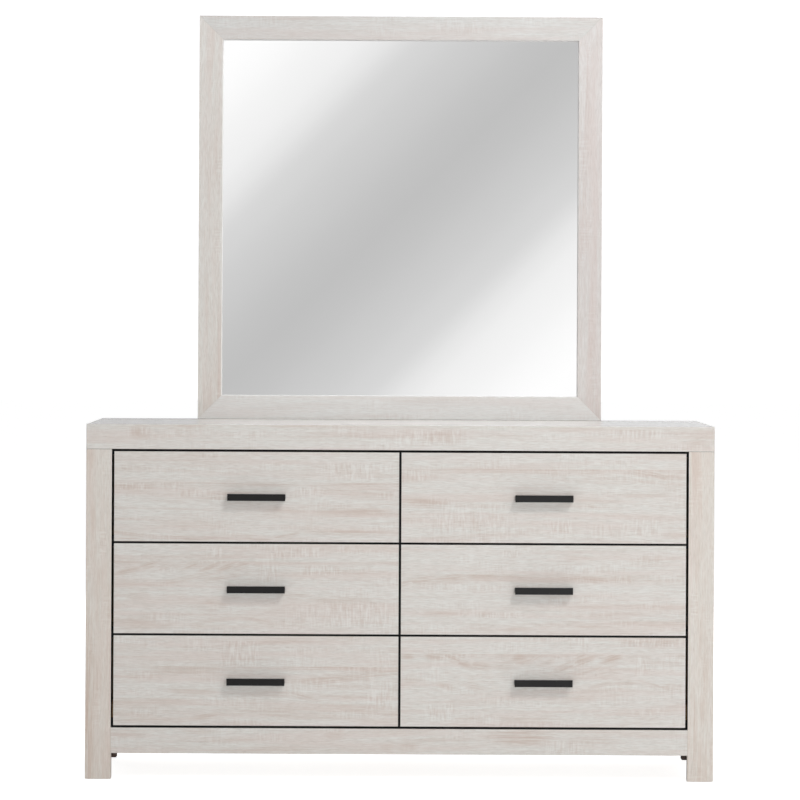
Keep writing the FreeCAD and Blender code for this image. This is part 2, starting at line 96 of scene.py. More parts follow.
# Figure of the boards, in mm. A streak is how far along the grain from the board's corner, how far from its
# edge, half length, a quarter of its width, slope and strength. A patch of saw marks is how far along, how
# far from the edge, half length and half width. The seam is how far under the edge one stave of the print
# ends and the next begins.
figures = {
    "top_left_drawer": {
        "seam": 72,
        "streaks": (
            (40, 80, 95, 9, 0, 0.65), (300, 77, 200, 4, 0, 0.5), (560, 77, 150, 5, 0, 0.75),
            (545, 87, 150, 4, 0, 0.6), (580, 97, 120, 4, 0, 0.55), (600, 107, 110, 4, 0, 0.5),
            (400, 137, 70, 4, -0.03, 0.55), (560, 139, 130, 5, 0, 0.8), (590, 147, 110, 4, 0, 0.65),
            (30, 194, 55, 4, -0.15, 0.65), (170, 203, 140, 4, -0.01, 0.75), (340, 204, 80, 4, 0, 0.5),
            (405, 199, 50, 4, 0.22, 0.65), (545, 189, 150, 4, 0, 0.7), (30, 208, 60, 4, 0, 0.6),
            (200, 30, 90, 5, 0, 0.35), (60, 35, 80, 9, 0, 0.25), (200, 173, 110, 4, 0, 0.35),
            (160, 117, 90, 4, 0, 0.3)),
        "saw_marks": ((560, 46, 70, 24), (40, 82, 45, 10), (190, 98, 50, 10), (455, 92, 30, 12)),
    },
    "middle_left_drawer": {
        "seam": 41,
        "streaks": (
            (200, 50, 150, 9, 0, 0.5), (85, 50, 34, 6, 0.3, 0.8), (125, 53, 34, 6, 0.3, 0.7),
            (180, 50, 36, 6, 0.35, 0.8), (228, 54, 36, 6, 0.35, 0.9), (266, 54, 36, 6, 0.35, 0.9),
            (300, 52, 34, 6, 0.3, 0.8), (35, 66, 50, 5, 0.22, 0.7), (185, 80, 110, 5, 0.2, 0.55),
            (265, 78, 80, 5, 0.2, 0.55), (510, 66, 180, 5, 0, 0.5), (490, 60, 70, 10, 0, 0.35),
            (430, 122, 60, 6, -0.05, 0.65), (560, 131, 130, 6, -0.06, 0.65), (500, 134, 100, 4, -0.06, 0.5),
            (225, 147, 55, 8, 0.05, 0.6), (70, 182, 120, 5, 0, 0.55), (70, 196, 120, 5, 0.02, 0.55),
            (90, 171, 90, 4, 0, 0.4), (240, 180, 90, 4, 0.1, 0.45), (350, 182, 60, 4, -0.2, 0.4),
            (60, 124, 40, 7, 0, 0.4)),
        "saw_marks": (
            (425, 20, 80, 14), (490, 62, 60, 14), (365, 70, 28, 24), (580, 165, 105, 36),
            (235, 20, 25, 14)),
    },
    "bottom_left_drawer": {
        "seam": 72,
        "streaks": (
            (170, 76, 200, 4, 0, 0.7), (480, 75, 200, 4, 0, 0.7), (150, 85, 180, 4, 0.01, 0.6),
            (60, 94, 90, 4, 0, 0.5), (545, 93, 150, 4, 0.12, 0.8), (580, 97, 130, 4, 0.1, 0.7),
            (520, 105, 110, 4, 0.12, 0.7), (600, 84, 110, 4, 0.05, 0.6), (190, 132, 90, 5, -0.03, 0.65),
            (455, 144, 40, 5, -0.2, 0.6), (355, 134, 110, 4, 0, 0.45), (580, 172, 40, 5, 0, 0.65),
            (80, 172, 80, 4, 0, 0.4), (60, 186, 80, 4, 0, 0.5), (85, 201, 120, 5, 0, 0.65),
            (215, 191, 60, 4, 0.2, 0.6), (370, 178, 150, 4, 0.02, 0.5), (40, 30, 70, 6, 0, 0.4),
            (300, 24, 50, 6, 0, 0.35)),
        "saw_marks": ((300, 48, 55, 30), (300, 20, 50, 10), (630, 140, 40, 40)),
    },
    "top_right_drawer": {
        "seam": 38,
        "streaks": (
            (227, 41, 75, 4, 0, 0.65), (357, 45, 50, 7, 0, 0.4), (441, 43, 55, 6, 0, 0.55),
            (330, 42, 230, 4, 0, 0.4), (562, 44, 45, 6, -0.2, 0.75), (600, 52, 45, 6, -0.22, 0.8),
            (642, 57, 45, 5, -0.05, 0.7), (580, 66, 60, 4, -0.08, 0.5), (640, 74, 45, 4, 0, 0.5),
            (640, 84, 40, 4, -0.15, 0.4), (573, 97, 115, 4, 0, 0.5), (56, 118, 65, 8, -0.06, 0.75),
            (185, 125, 100, 3, 0, 0.55), (28, 67, 40, 4, 0, 0.4), (115, 202, 125, 4, 0, 0.5),
            (505, 189, 35, 5, 0, 0.3), (640, 192, 40, 5, 0, 0.4)),
        "saw_marks": ((37, 54, 35, 16), (165, 167, 115, 27), (375, 172, 35, 20), (580, 174, 42, 24)),
    },
    "middle_right_drawer": {
        "seam": 69,
        "streaks": (
            (14, 92, 35, 5, 0.3, 0.8), (46, 83, 50, 6, 0.13, 0.9), (120, 77, 65, 6, 0.1, 0.85),
            (190, 75, 65, 7, 0, 0.85), (260, 78, 70, 5, -0.05, 0.6), (340, 79, 75, 5, 0, 0.55),
            (400, 76, 60, 6, 0.08, 0.75), (450, 79, 65, 6, -0.1, 0.85), (515, 82, 65, 5, 0, 0.65),
            (595, 79, 100, 5, 0, 0.55), (60, 94, 65, 4, 0.2, 0.6), (130, 86, 60, 4, 0.08, 0.5),
            (94, 165, 60, 5, 0, 0.65), (230, 165, 70, 5, 0, 0.4), (283, 197, 45, 4, 0.05, 0.5),
            (350, 190, 50, 4, 0.12, 0.5), (410, 184, 45, 4, 0.02, 0.5), (445, 190, 50, 4, 0, 0.45),
            (260, 20, 30, 7, 0, 0.4), (415, 30, 55, 5, -0.1, 0.4), (395, 42, 50, 4, 0, 0.3),
            (595, 33, 80, 5, 0.1, 0.35)),
        "saw_marks": ((520, 80, 30, 12), (260, 20, 28, 10), (230, 165, 65, 8)),
    },
    "bottom_right_drawer": {
        "seam": 40,
        "streaks": (
            (17, 45, 24, 6, 0, 0.9), (80, 45, 38, 6, -0.1, 0.8), (125, 52, 32, 7, -0.4, 0.8),
            (152, 63, 36, 7, -0.27, 0.75), (190, 69, 48, 6, -0.07, 0.7), (245, 68, 48, 6, 0.08, 0.65),
            (292, 58, 38, 6, 0.25, 0.65), (318, 47, 22, 6, 0.6, 0.6), (280, 48, 30, 7, 0, 0.9),
            (355, 50, 18, 5, 0.3, 0.6), (340, 62, 30, 4, 0.2, 0.4), (390, 67, 42, 6, 0.38, 0.8),
            (432, 52, 36, 10, 0.35, 1.0), (500, 50, 36, 8, 0.3, 1.0), (440, 79, 60, 4, 0.25, 0.6),
            (490, 68, 48, 4, 0.25, 0.6), (535, 59, 48, 4, 0.08, 0.6), (610, 60, 85, 4, -0.02, 0.6),
            (490, 84, 55, 4, 0.2, 0.45), (555, 74, 55, 4, 0.08, 0.45), (590, 14, 90, 9, 0, 0.5),
            (475, 112, 45, 4, 0.2, 0.5), (530, 107, 55, 4, 0.03, 0.6), (590, 110, 38, 5, -0.2, 0.7),
            (635, 116, 48, 5, -0.05, 0.7), (27, 101, 40, 5, -0.04, 0.5), (106, 117, 32, 5, -0.2, 0.45),
            (176, 120, 32, 6, -0.2, 0.5), (427, 145, 42, 5, 0, 0.5), (165, 195, 48, 5, 0, 0.5),
            (310, 195, 100, 5, 0, 0.5), (560, 185, 60, 5, -0.1, 0.3)),
        "saw_marks": ((590, 13, 85, 11), (422, 12, 30, 14), (570, 68, 20, 26), (93, 178, 45, 24)),
    },
    "front_band": {
        "streaks": (
            (127, 17, 35, 10, 0, 0.6), (245, 3, 50, 5, 0, 0.6), (505, 4, 100, 4, 0, 0.5),
            (835, 28, 70, 8, 0, 0.7), (989, 26, 90, 6, 0, 0.45), (1142, 6, 80, 5, 0, 0.4),
            (1442, 44, 40, 9, 0, 0.5), (1449, 15, 35, 6, 0, 0.5)),
        "saw_marks": ((127, 17, 35, 12), (810, 28, 100, 22), (1300, 18, 80, 12)),
    },
    "bottom_rail": {
        "streaks": (
            (38, 14, 60, 7, 0, 0.55), (205, 8, 45, 6, 0, 0.5), (526, 19, 30, 7, 0, 0.45),
            (651, 42, 25, 7, 0, 0.45), (963, 20, 100, 12, -0.03, 1.0), (1133, 27, 90, 8, 0, 0.5),
            (699, 40, 30, 8, 0, 0.5)),
        "saw_marks": ((1069, 42, 60, 18),),
    },
    # On each leg the first two streaks are washes as wide as the leg, one along all of it and a stronger
    # one over the foot; the second makes the leg darker towards the floor, as painted shade
    "left_leg": {
        "streaks": (
            (430, 27, 480, 90, 0, 0.14), (45, 27, 95, 90, 0, 0.28), (170, 4, 300, 13, 0, 1.1),
            (620, 0, 260, 6, 0, 0.9), (222, 10, 110, 12, 0, 0.8), (238, 31, 60, 5, 0.02, 0.5),
            (765, 10, 40, 10, 0, 0.5), (480, 35, 40, 6, 0, 0.4), (620, 18, 70, 5, 0, 0.4)),
        "saw_marks": ((560, 40, 40, 10),),
    },
    "right_leg": {
        "streaks": (
            (430, 27, 480, 90, 0, 0.22), (45, 27, 95, 90, 0, 0.42), (740, 14, 150, 8, 0, 0.45),
            (120, 15, 150, 6, 0, 0.62), (278, 42, 120, 8, 0.02, 0.7), (533, 21, 90, 7, 0, 0.6),
            (653, 28, 60, 6, 0, 0.45), (170, 36, 60, 8, 0, 0.6), (350, 34, 130, 5, 0, 0.5)),
        "saw_marks": ((420, 15, 40, 10),),
    },
}


def linear(text):
    """Linear colour of an sRGB hex value."""
    channels = [int(text[place:place + 2], 16) / 255 for place in (0, 2, 4)]
    return tuple(c / 12.92 if c <= 0.04045 else ((c + 0.055) / 1.055) ** 2.4 for c in channels)


def colour(name, description, text):
    """Colour setting with an sRGB hex value as its default."""
    return FloatVectorProperty(name=name, description=description, subtype="COLOR", size=3,
                               min=0.0, max=1.0, default=linear(text))


def length(name, description, value):
    """Length setting, given in millimetres."""
    return FloatProperty(name=name, description=description, subtype="DISTANCE", unit="LENGTH",
                         min=0.0, default=value * mm)


def power(name, description, value):
    """Power setting of a light, in watts."""
    return FloatProperty(name=name, description=description, subtype="POWER", unit="POWER", default=value)


class OakPrint(bpy.types.PropertyGroup):
    """Whitewashed oak print on the case, the drawer fronts and the mirror frame."""
    whitewash: colour("Whitewash", "Palest tone, where the wash fills the grain", "dedcd7")
    fibre: colour("Fibre", "Warm grey of the fibres between the wash", "cdc8c1")
    blush: colour("Blush", "Faint pink tan that drifts through the wash", "d3c0b7")
    chalk: colour("Chalk", "Nearly white wash left in the saw marks", "eae9e5")
    streak: colour("Streak", "Tan of the long streaks", "b89987")
    pore: colour("Pore", "Brown of the open pores", "94877c")
    streak_length: length("Streak length", "Usual length of a tan streak", 330)
    streak_width: length("Streak width", "Usual width of a tan streak", 16)
    ring_spacing: length("Ring spacing", "Distance between growth rings on the face", 11)
    saw_spacing: length("Saw mark spacing", "Usual distance between two saw marks across the grain", 5)
    eased_edge: length("Eased edge", "Width of the softened edge of a board", 0.8)


class Fittings(bpy.types.PropertyGroup):
    """Pulls, screws and the other small metal pieces."""
    coat: colour("Coat", "Black powder coat of the pulls", black_and_reveal_shade)
    zinc: colour("Zinc", "Zinc plating of the screws", "b9b6ae")
    pull_screw_head: length("Pull screw head", "Diameter of the screw heads inside the drawers", 8.4)
    pull_screw_centres: length("Pull screw centres", "Distance between the two screws of a pull", 128)
    nail_head: length("Nail head", "Diameter of the nail heads in the back panel", 5)
    nail_spacing: length("Nail spacing", "Distance between nails along the back panel's edge", 150)


class StudioStage(bpy.types.PropertyGroup):
    """Camera, lights and the pale surroundings."""
    camera_side: length("Camera side", "Camera's place to the left of the middle", 60)
    camera_height: length("Camera height", "Camera's height over the floor", 1095)
    camera_distance: length("Camera distance", "Camera's distance from the drawer fronts", 6654)
    camera_lens: FloatProperty(name="Lens", description="Focal length on a 36 mm sensor, in millimetres",
                               subtype="DISTANCE_CAMERA", default=127.12)
    camera_shift: FloatVectorProperty(name="Shift", description="Shift of the frame, across and up", size=2,
                                      default=(0.0304, -0.1047))
    camera_roll: FloatProperty(name="Roll", description="Turn of the frame about the line of sight",
                               subtype="ANGLE", default=math.radians(-0.28))
    key_power: power("Key power", "Soft light in front, to the upper right", 76)
    front_power: power("Front power", "Large soft light beside the camera", 116)
    side_power: power("Side power", "Large soft light at the right", 15)
    over_power: power("Overhead power", "Large soft cool light over the top", 54)
    rear_power: power("Rear power", "Two soft lights behind the object", 36)
    surround: FloatProperty(name="Surround", description="Brightness of the pale room", default=0.18)
    floor_glow: FloatProperty(name="Floor glow", description="Light of the white floor's own", default=0.84)


def join(tree, node, sockets):
    """Gives each socket named a value, or a link from an output. A node stands for its first output."""
    for name, value in sockets.items():
        if isinstance(value, bpy.types.Node):
            value = value.outputs[0]
        if isinstance(value, bpy.types.NodeSocket):
            tree.links.new(value, node.inputs[name])
        else:
            node.inputs[name].default_value = value


def add(tree, kind, sockets=None, **settings):
    """Adds a node with its settings, and with a value or a link for each socket named."""
    made = tree.nodes.new(kind if kind.startswith("NodeGroup") else "ShaderNode" + kind)
    for name, value in settings.items():
        setattr(made, name, value)
    join(tree, made, sockets or {})
    return made


def new_finish(name, sockets):
    """Material of that name with one principled shader, its node tree and the shader."""
    material = bpy.data.materials.new(name)
    material.use_nodes = True
    tree = material.node_tree
    tree.nodes.clear()
    shader = add(tree, "BsdfPrincipled", sockets)
    add(tree, "OutputMaterial", {"Surface": shader})
    return material, tree, shader


def new_group(name, inputs, outputs):
    """Node group of that name with the sockets given, its tree and what it is given."""
    tree = bpy.data.node_groups.new(name, "ShaderNodeTree")
    for way, sockets in (("INPUT", inputs), ("OUTPUT", outputs)):
        for socket, kind in sockets.items():
            tree.interface.new_socket(socket, in_out=way, socket_type="NodeSocket" + kind)
    return tree, add(tree, "NodeGroupInput").outputs


def tan_streak():
    """One tan streak at a spot of its own on a board's face, added to the streaks before it. Places are in
    mm, along the grain and across it. A streak stops at the seam between two staves of the print, and where
    it slopes, its strands lean with it."""
    tree, given = new_group("tan streak", {"Place": "Vector", "Spot": "Vector", "Half length": "Float",
                                           "Half width": "Float", "Slope": "Float", "Strength": "Float",
                                           "Seam": "Float", "Streaks": "Float", "Lean": "Float"},
                            {"Streaks": "Float", "Lean": "Float"})
    offset = add(tree, "VectorMath", {0: given["Place"], 1: given["Spot"]}, operation="SUBTRACT")
    parts = add(tree, "SeparateXYZ", {0: offset})
    rise = add(tree, "Math", {0: parts.outputs["X"], 1: given["Slope"]}, operation="MULTIPLY")
    level = add(tree, "Math", {0: parts.outputs["Z"], 1: rise}, operation="SUBTRACT")
    along = add(tree, "Math", {0: parts.outputs["X"], 1: given["Half length"]}, operation="DIVIDE")
    across = add(tree, "Math", {0: level, 1: given["Half width"]}, operation="DIVIDE")
    pair = add(tree, "CombineXYZ", {0: along, 1: across})
    away = add(tree, "VectorMath", {0: pair}, operation="LENGTH")

    # Same side of the seam as the streak's own spot
    here = add(tree, "SeparateXYZ", {0: given["Place"]})
    there = add(tree, "SeparateXYZ", {0: given["Spot"]})
    below = add(tree, "Math", {0: here.outputs["Z"], 1: given["Seam"]}, operation="ADD")
    home = add(tree, "Math", {0: there.outputs["Z"], 1: given["Seam"]}, operation="ADD")
    both = add(tree, "Math", {0: below, 1: home}, operation="MULTIPLY")
    same = add(tree, "Math", {0: both, 1: 0.0}, operation="GREATER_THAN")

    fade = add(tree, "MapRange",
               {"Value": away.outputs["Value"], "From Min": 1.15, "From Max": 0.2,
                "To Max": given["Strength"]}, **ease)
    kept = add(tree, "Math", {0: fade, 1: same}, operation="MULTIPLY")
    streaks = add(tree, "Math", {0: given["Streaks"], 1: kept}, operation="MAXIMUM")
    leads = add(tree, "Math", {0: kept, 1: given["Streaks"]}, operation="GREATER_THAN")
    lean = add(tree, "Mix", {0: leads, 2: given["Lean"], 3: rise}, data_type="FLOAT")
    add(tree, "NodeGroupOutput", {"Streaks": streaks, "Lean": lean})


def saw_patch():
    """One patch of saw marks at a spot of its own on a board's face, added to the patches before it."""
    tree, given = new_group("saw patch", {"Place": "Vector", "Spot": "Vector", "Half size": "Vector",
                                          "Patches": "Float"}, {"Patches": "Float"})
    offset = add(tree, "VectorMath", {0: given["Place"], 1: given["Spot"]}, operation="SUBTRACT")
    share = add(tree, "VectorMath", {0: offset, 1: given["Half size"]}, operation="DIVIDE")
    size = add(tree, "VectorMath", {0: share}, operation="ABSOLUTE")
    parts = add(tree, "SeparateXYZ", {0: size})
    far = add(tree, "Math", {0: parts.outputs["X"], 1: parts.outputs["Z"]}, operation="MAXIMUM")
    fade = add(tree, "MapRange", {"Value": far, "From Min": 1.1, "From Max": 0.5}, **ease)
    total = add(tree, "Math", {0: given["Patches"], 1: fade}, operation="MAXIMUM")
    add(tree, "NodeGroupOutput", {"Patches": total})


def oak_print(oak):
    """Whitewashed oak as printed on laminate paper: colour, roughness and height from a place in mm along
    the grain. It gives the eye pale wash with fine straight fibres, long tan streaks drawn out of thin
    strands, a drifting blush, faint growth rings and patches of saw marks across the grain."""
    tree, given = new_group("whitewashed oak print",
                            {"Place": "Vector", "Streaks": "Float", "Lean": "Float", "Patches": "Float"},
                            {"Colour": "Color", "Roughness": "Float", "Height": "Float"})

    # Slow sway of the grain over most of a board, and a small one over a hand's breadth
    swayed = given["Place"]
    for along, across, reach in ((900, 260, 24.0), (190, 60, 1.6)):
        slow = add(tree, "VectorMath", {0: given["Place"], 1: (1 / along, 1 / across, 1 / across)},
                   operation="MULTIPLY")
        sway = add(tree, "TexNoise", {"Vector": slow, "Scale": 1.0, "Detail": 0.0})
        centred = add(tree, "VectorMath", {0: sway.outputs["Color"], 1: (0.5, 0.5, 0.5)},
                      operation="SUBTRACT")
        swayed = add(tree, "VectorMath", {0: centred, 1: (0.0, reach, reach), 2: swayed},
                     operation="MULTIPLY_ADD")

    # Strands lean with the streak that they are in
    aside = add(tree, "CombineXYZ", {"Z": given["Lean"]})
    leaning = add(tree, "VectorMath", {0: swayed, 1: aside}, operation="SUBTRACT")

    # Noises stretched along the grain: length and width in mm, and fineness. Fibres and pores are drawn
    # about twice as coarse as real ones, so that they show
    layers = {}
    for name, along, across, detail in (
            ("drift", 700, 130, 1.0), ("blush", 420, 22, 1.5),
            ("streak", oak.streak_length / mm, oak.streak_width / mm, 1.0), ("strand", 170, 3.4, 1.0),
            ("line", 200, 2.7, 1.0), ("fleck", 20, 3.8, 1.0), ("fibre", 22, 2.2, 1.0),
            ("pore", 13, 1.6, 1.0), ("patch", 110, 26, 0.0), ("wobble", 45, 12, 1.0),
            ("saw", oak.saw_spacing / mm, 30, 1.0)):
        stretched = add(tree, "VectorMath",
                        {0: leaning if name == "strand" else swayed,
                         1: (1 / along, 1 / across, 1 / across)}, operation="MULTIPLY")
        layers[name] = add(tree, "TexNoise", {"Vector": stretched, "Scale": 1.0, "Detail": detail})

    # Where each noise counts, from nothing to full
    masks = {}
    for name, low, high, top in (
            ("drift", 0.32, 0.68, 1.0), ("blush", 0.40, 0.70, 1.0), ("streak", 0.54, 0.76, 0.45),
            ("line", 0.48, 0.72, 1.0), ("fleck", 0.34, 0.66, 1.0), ("fibre", 0.30, 0.70, 1.0),
            ("pore", 0.58, 0.72, 1.0), ("patch", 0.48, 0.74, 0.6)):
        masks[name] = add(tree, "MapRange",
                          {"Value": layers[name], "From Min": low, "From Max": high, "To Max": top}, **ease)

    # Growth rings round a heart line below the face, a little tilted, so that they meet it as arches
    heart_depth = 70.0
    heart_tilt = 0.055
    parts = add(tree, "SeparateXYZ", {0: swayed})
    section = add(tree, "VectorMath", {0: swayed, 1: (0.0, 1.0, 1.0), 2: (0.0, heart_depth, 0.0)},
                  operation="MULTIPLY_ADD")
    radius = add(tree, "VectorMath", {0: section}, operation="LENGTH")
    tilted = add(tree, "Math", {0: parts.outputs["X"], 1: heart_tilt, 2: radius.outputs["Value"]},
                 operation="MULTIPLY_ADD")
    counted = add(tree, "Math", {0: tilted, 1: oak.ring_spacing / mm}, operation="DIVIDE")
    shaken = add(tree, "Math", {0: layers["wobble"], 1: 0.6, 2: counted}, operation="MULTIPLY_ADD")
    folded = add(tree, "Math", {0: shaken, 1: 0.5}, operation="PINGPONG")
    ring = add(tree, "MapRange", {"Value": folded, "From Min": 0.28, "From Max": 0.5}, **ease)
    ring_seen = add(tree, "Math", {0: ring, 1: masks["drift"]}, operation="MULTIPLY")

    # Saw marks: short uneven ticks across the grain, chalky and brown in turn, only in patches
    patches = add(tree, "Math", {0: masks["patch"], 1: given["Patches"]}, operation="MAXIMUM")
    ticks = {}
    for name, low, high in (("chalk", 0.52, 0.64), ("brown", 0.48, 0.34)):
        tick = add(tree, "MapRange", {"Value": layers["saw"], "From Min": low, "From Max": high}, **ease)
        ticks[name] = add(tree, "Math", {0: tick, 1: patches}, operation="MULTIPLY")

    # The tan streaks are soft bands, drawn out of thin darker strands
    streaks = add(tree, "Math", {0: masks["streak"], 1: given["Streaks"]}, operation="MAXIMUM")
    threads = add(tree, "MapRange",
                  {"Value": layers["strand"], "From Min": 0.36, "From Max": 0.64, "To Min": 0.3}, **ease)
    streak_seen = add(tree, "Math", {0: threads, 1: streaks}, operation="MULTIPLY")

    # Colours laid over each other, each with how strongly it shows
    shown = None
    for mask, strength, over in (
            (masks["fibre"], 0.62, oak.fibre), (masks["fleck"], 0.13, oak.blush),
            (masks["blush"], 0.36, oak.blush), (masks["line"], 0.10, oak.streak),
            (ring_seen, 0.05, oak.streak), (streak_seen, 0.52, oak.streak),
            (ticks["brown"], 0.17, oak.streak), (ticks["chalk"], 0.30, oak.chalk),
            (masks["pore"], 0.14, oak.pore)):
        amount = add(tree, "Math", {0: mask, 1: strength}, operation="MULTIPLY")
        under = shown or (*oak.whitewash, 1.0)
        mixed = add(tree, "Mix", {0: amount, 6: under, 7: (*over, 1.0)}, data_type="RGBA")
        shown = mixed.outputs[2]

    # The wash is a little smoother than the open pores
    rough = add(tree, "MapRange",
                {"Value": layers["fibre"], "From Min": 0.3, "From Max": 0.7, "To Min": 0.46,
                 "To Max": 0.58})
    raised = add(tree, "Math", {0: masks["pore"], 1: -0.8, 2: layers["fibre"]}, operation="MULTIPLY_ADD")
    add(tree, "NodeGroupOutput", {"Colour": shown, "Roughness": rough, "Height": raised})


def oak_board(name, grain, cut, corner=(0, 0, 0), figure=None, painted=None, coat=0.0, tint=None):
    """Laminated board with the whitewashed oak print, cut from the print at a place of its own in mm. Its
    figure is measured in mm from a corner, along the grain and away from that edge. Faces that look in
    given directions may be painted, above a given height: black as painted shade in the reveals, which
    gives the thin dark lines round the drawers, and pale as a painted highlight along the glass. A clear
    coat makes the board shine at a low angle, and a tint, a colour and its share, shifts the board's tone;
    on the mirror's frame the tint is partly painted light and shade."""
    material, tree, shader = new_finish("oak laminate, " + name,
                                        {"IOR": 1.5, "Coat Weight": coat, "Coat Roughness": 0.16})
    spot = add(tree, "TexCoord")
    turn = Euler(grain_turns[grain])
    place = add(tree, "Mapping",
                {"Vector": spot.outputs["Object"], "Location": cut, "Rotation": turn, "Scale": to_mm})
    streaks = 0.0
    lean = 0.0
    patches = 0.0
    if figure:
        zero = turn.to_matrix() @ (Vector(corner) / mm)
        own = add(tree, "Mapping",
                  {"Vector": spot.outputs["Object"], "Location": -zero, "Rotation": turn, "Scale": to_mm})
        seam = figure.get("seam", 0.0)
        any_depth = 1e4
        sway_length = 190
        next_stave = 470.0
        for along, away, half_length, quarter_width, slope, strength in figure["streaks"]:
            streak = add(tree, "Group",
                         {"Place": own, "Spot": (along, 0.0, -away), "Half length": half_length,
                          "Half width": quarter_width * 2, "Slope": slope, "Strength": strength,
                          "Seam": seam, "Streaks": streaks, "Lean": lean},
                         node_tree=bpy.data.node_groups["tan streak"])
            streaks = streak.outputs["Streaks"]
            lean = streak.outputs["Lean"]
        for along, away, half_length, half_width in figure["saw_marks"]:
            patch = add(tree, "Group",
                        {"Place": own, "Spot": (along, 0.0, -away),
                         "Half size": (half_length, any_depth, half_width), "Patches": patches},
                        node_tree=bpy.data.node_groups["saw patch"])
            patches = patch.outputs["Patches"]

        # Below the seam another stave of the print begins, with tan along its edge
        depth = add(tree, "SeparateXYZ", {0: own})
        below = add(tree, "Math", {0: depth.outputs["Z"], 1: -seam}, operation="LESS_THAN")
        if seam:
            slow = add(tree, "VectorMath", {0: own, 1: (1 / sway_length, 0.0, 0.0)}, operation="MULTIPLY")
            wave = add(tree, "TexNoise", {"Vector": slow, "Scale": 1.0, "Detail": 1.0})
            share = add(tree, "MapRange",
                        {"Value": wave, "From Min": 0.35, "From Max": 0.65, "To Min": 0.25, "To Max": 0.5})
            rim = add(tree, "MapRange",
                      {"Value": depth.outputs["Z"], "From Min": -seam - 18, "From Max": -seam - 3,
                       "To Max": share}, **ease)
            edge = add(tree, "Math", {0: rim, 1: below}, operation="MULTIPLY")
            streaks = add(tree, "Math", {0: edge, 1: streaks}, operation="MAXIMUM")
        step = add(tree, "Math", {0: below, 1: next_stave}, operation="MULTIPLY")
        shift = add(tree, "CombineXYZ", {"Z": step})
        place = add(tree, "VectorMath", {0: place, 1: shift}, operation="SUBTRACT")
    paper = add(tree, "Group", {"Place": place, "Streaks": streaks, "Lean": lean, "Patches": patches},
                node_tree=bpy.data.node_groups["whitewashed oak print"])
    printed = paper.outputs["Colour"]
    if tint:
        printed = add(tree, "Mix", {0: tint[1], 6: printed, 7: (*tint[0], 1.0)},
                      data_type="RGBA").outputs[2]
    relief = add(tree, "Bump", {"Height": paper.outputs["Height"], "Distance": 0.12 * mm, "Strength": 0.4})
    join(tree, shader, {"Base Color": printed, "Roughness": paper.outputs["Roughness"], "Normal": relief})
    if not painted:
        return material

    # Painted shade for the reveals and a painted highlight for the edge beside the glass, on the faces that
    # look the given ways above the given height
    paint, directions, least, lowest = painted
    facing = None
    for direction in directions:
        share = add(tree, "VectorMath", {0: spot.outputs["Normal"], 1: direction},
                    operation="DOT_PRODUCT").outputs["Value"]
        facing = share if facing is None else add(tree, "Math", {0: facing, 1: share}, operation="MAXIMUM")
    turned = add(tree, "Math", {0: facing, 1: least}, operation="GREATER_THAN")
    height = add(tree, "SeparateXYZ", {0: spot.outputs["Object"]})
    above = add(tree, "Math", {0: height.outputs["Z"], 1: lowest}, operation="GREATER_THAN")
    shade_or_highlight_mask = add(tree, "Math", {0: turned, 1: above}, operation="MULTIPLY")
    mixed = add(tree, "Mix", {0: shade_or_highlight_mask, 6: printed, 7: (*linear(paint), 1.0)}, data_type="RGBA")
    join(tree, shader, {"Base Color": mixed.outputs[2]})
    return material


def surface(tree, shader, tone, rough=None, height=None, rise=0.0, strength=0.0):
    """Gives the shader its colour and, where asked, its roughness and a relief, with its rise in mm."""
    join(tree, shader, {"Base Color": tone.outputs[2]})
    if rough:
        join(tree, shader, {"Roughness": rough})
    if height:
        relief = add(tree, "Bump", {"Height": height, "Distance": rise * mm, "Strength": strength})
        join(tree, shader, {"Normal": relief})


def clouded_finish(name, sockets, cloud_size, detail, first, second, roughness=None, relief=None):
    """Finish that drifts between two colours, and between two values of roughness, in clouds of a size in
    mm. Its relief is the size of the grain in mm, its detail, its rise in mm and its strength."""
    material, tree, shader = new_finish(name, sockets)
    spot = add(tree, "TexCoord")
    cloud = add(tree, "TexNoise",
                {"Vector": spot.outputs["Object"], "Scale": 1 / (cloud_size * mm), "Detail": detail})
    tone = add(tree, "Mix", {0: cloud, 6: (*first, 1.0), 7: (*second, 1.0)}, data_type="RGBA")
    rough = None
    if roughness:
        rough = add(tree, "MapRange", {"Value": cloud, "To Min": roughness[0], "To Max": roughness[1]})
    if not relief:
        surface(tree, shader, tone, rough)
        return material
    grain_size, fineness, rise, strength = relief
    grain = add(tree, "TexNoise",
                {"Vector": spot.outputs["Object"], "Scale": 1 / (grain_size * mm), "Detail": fineness})
    surface(tree, shader, tone, rough, grain, rise, strength)
    return material


def black_paint():
    """Black painted board: a thin roller coat, nearly matt, with the roller's faint stipple."""
    return clouded_finish("black painted board", {"IOR": 1.48}, 2.5, 2.0, linear(black_and_reveal_shade),
                          linear("1b1a1a"), (0.55, 0.75), (2.5, 2.0, 0.1, 0.4))


